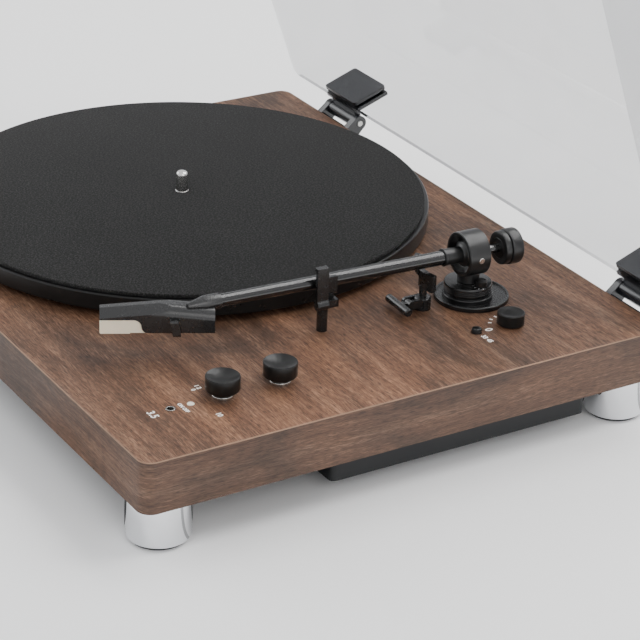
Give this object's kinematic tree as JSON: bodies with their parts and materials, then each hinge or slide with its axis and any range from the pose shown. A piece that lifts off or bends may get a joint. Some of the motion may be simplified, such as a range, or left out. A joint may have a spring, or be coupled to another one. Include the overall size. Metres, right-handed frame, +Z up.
{
  "type": "stereo music centre",
  "caption": "Belt-drive record player on a wood slab with built-in amplifier controls, a straight tonearm, chrome feet and a hinged clear dust cover.",
  "frame": {"origin": "spindle axis at the top face of the mat, where a record lies", "axes": "+Z up along the spindle, +X to the right along the long side, +Y to the back where the dust cover hinges"},
  "size_m": [0.42, 0.3898, 0.3939],
  "materials": {
    "veneer": "walnut veneer, satin",
    "board": "black fibreboard",
    "chrome": "polished",
    "foot_rubber": "matte",
    "tray_black": "satin black",
    "circuit": "circuit board",
    "steel": "plain",
    "brass_bearing": "turned",
    "platter_black": "black anodised, semi-gloss",
    "felt": "felt",
    "inner_plastic": "moulded",
    "motor_steel": "plated",
    "belt_rubber": "flat belt",
    "black_satin": "satin black",
    "black_metal": "satin black",
    "black_gloss": "gloss black",
    "tube_black": "gloss black",
    "cream": "cream",
    "light_lens": "clear lens",
    "acrylic": "clear acrylic, smoke-grey tint"
  },
  "bodies": {
    "chassis": {"plinth": "veneer", "base_board": "board", "foot_front_left": "chrome", "foot_front_right": "chrome", "foot_back_left": "chrome", "foot_back_right": "chrome", "foot_pads": "foot_rubber", "under_tray": "tray_black", "amplifier_board": "circuit", "dc_inlet": "black_satin", "line_out_sockets": "chrome", "speaker_terminals": "black_gloss", "case_screws": "steel", "bearing_housing": "brass_bearing", "thrust_ball": "steel", "motor_can": "motor_steel", "motor_plate": "steel", "motor_grommets": "foot_rubber", "drive_belt": "belt_rubber", "knob_collars": "chrome", "potentiometers": "motor_steel", "button_switch": "inner_plastic", "headphone_socket": "chrome", "power_light": "light_lens", "arm_base": "black_gloss", "arm_tower": "black_gloss", "arm_nut": "steel", "arm_rest": "black_gloss", "cue_housing": "black_satin", "hinge_bracket_left": "black_metal", "hinge_bracket_right": "black_metal", "hinge_pins": "steel"},
    "platter": {"platter": "platter_black", "mat": "felt", "sub_platter": "inner_plastic", "spindle": "steel"},
    "motor_rotor": {"motor_shaft": "steel", "motor_pulley": "brass_bearing"},
    "arm_yaw": {"gimbal_ring": "black_metal", "pivot_screws": "chrome"},
    "arm_beam": {"bearing_block": "black_metal", "arm_tube": "tube_black", "counterweight_shaft": "chrome", "headshell": "black_satin", "cartridge": "inner_plastic", "finger_lift": "black_metal"},
    "counterweight": {"counterweight": "black_metal"},
    "force_dial": {"force_dial": "black_satin"},
    "stylus_guard": {"stylus_guard": "cream"},
    "antiskate_dial": {"antiskate_dial": "chrome"},
    "rest_clip": {"rest_clip": "black_gloss"},
    "cue_lever": {"cue_lever": "black_satin"},
    "lift_bar": {"lift_bar": "black_satin"},
    "volume_knob": {"volume_knob": "black_satin"},
    "tone_knob": {"tone_knob": "black_satin"},
    "speed_knob": {"speed_knob": "black_satin"},
    "start_button": {"start_button": "black_satin"},
    "dust_cover": {"dust_cover": "acrylic", "hinge_leaves": "black_gloss"}
  },
  "joints": [
    {"name": "platter_spin", "type": "hinge", "parent": "chassis", "child": "platter", "pos_m": [0, 0, 0], "axis": [0, 0, -1], "continuous": true},
    {"name": "pulley_spin", "type": "hinge", "parent": "chassis", "child": "motor_rotor", "pos_m": [-0.09093, 0.0525, -0.016], "axis": [0, 0, -1], "continuous": true},
    {"name": "arm_swing", "type": "hinge", "parent": "chassis", "child": "arm_yaw", "pos_m": [0.1796, 0.088, -0.016], "axis": [0, 0, -1], "range_deg": [0, 43]},
    {"name": "arm_lift", "type": "hinge", "parent": "arm_yaw", "child": "arm_beam", "pos_m": [0.1796, 0.088, 0.01275], "axis": [-0.9991, 0.0419, 0], "range_deg": [0, 4]},
    {"name": "counterweight_slide", "type": "slide", "parent": "arm_beam", "child": "counterweight", "axis": [-0.0419, -0.999, 0.0148], "range_m": [-0.003, 0.003]},
    {"name": "force_dial_turn", "type": "hinge", "parent": "counterweight", "child": "force_dial", "pos_m": [0.18048, 0.10897, 0.01184], "axis": [-0.0419, -0.999, 0.0148], "range_deg": [-160, 160]},
    {"name": "stylus_guard_slide", "type": "slide", "parent": "arm_beam", "child": "stylus_guard", "axis": [-0.4602, -0.8878, 0], "range_m": [0, 0.016]},
    {"name": "antiskate_turn", "type": "hinge", "parent": "chassis", "child": "antiskate_dial", "pos_m": [0.18946, 0.0902, -0.0046], "axis": [0, 0, -1], "range_deg": [-120, 120]},
    {"name": "rest_clip_turn", "type": "hinge", "parent": "chassis", "child": "rest_clip", "pos_m": [0.18245, -0.0074, 0.00316], "axis": [0.0419, 0.9991, 0], "range_deg": [0, 80]},
    {"name": "cue_lever_turn", "type": "hinge", "parent": "chassis", "child": "cue_lever", "pos_m": [0.17797, 0.04903, -0.0112], "axis": [-0.9991, 0.0419, 0], "range_deg": [0, 75]},
    {"name": "lift_bar_rise", "type": "slide", "parent": "chassis", "child": "lift_bar", "axis": [0, 0, 1], "range_m": [0, 0.00364]},
    {"name": "volume_knob_turn", "type": "hinge", "parent": "chassis", "child": "volume_knob", "pos_m": [0.2185, -0.094, -0.016], "axis": [0, 0, -1], "range_deg": [-140, 140]},
    {"name": "tone_knob_turn", "type": "hinge", "parent": "chassis", "child": "tone_knob", "pos_m": [0.2185, -0.059, -0.016], "axis": [0, 0, -1], "range_deg": [-140, 140]},
    {"name": "speed_knob_turn", "type": "hinge", "parent": "chassis", "child": "speed_knob", "pos_m": [0.2185, 0.091, -0.016], "axis": [0, 0, -1], "range_deg": [-30, 30]},
    {"name": "start_button_press", "type": "slide", "parent": "chassis", "child": "start_button", "axis": [0, 0, -1], "range_m": [0, 0.0015], "stiffness_N_per_m": 300, "springref_m": -0.001},
    {"name": "dust_cover_hinge", "type": "hinge", "parent": "chassis", "child": "dust_cover", "pos_m": [0.055, 0.1754, -0.015], "axis": [1, 0, 0], "range_deg": [0, 70]}
  ],
  "couplings": [
    {"joint": "pulley_spin", "follows": "platter_spin", "ratio": 16},
    {"joint": "cue_lever_turn", "follows": "arm_lift", "ratio": 18.748},
    {"joint": "lift_bar_rise", "follows": "arm_lift", "m_per_rad": 0.052173}
  ]
}
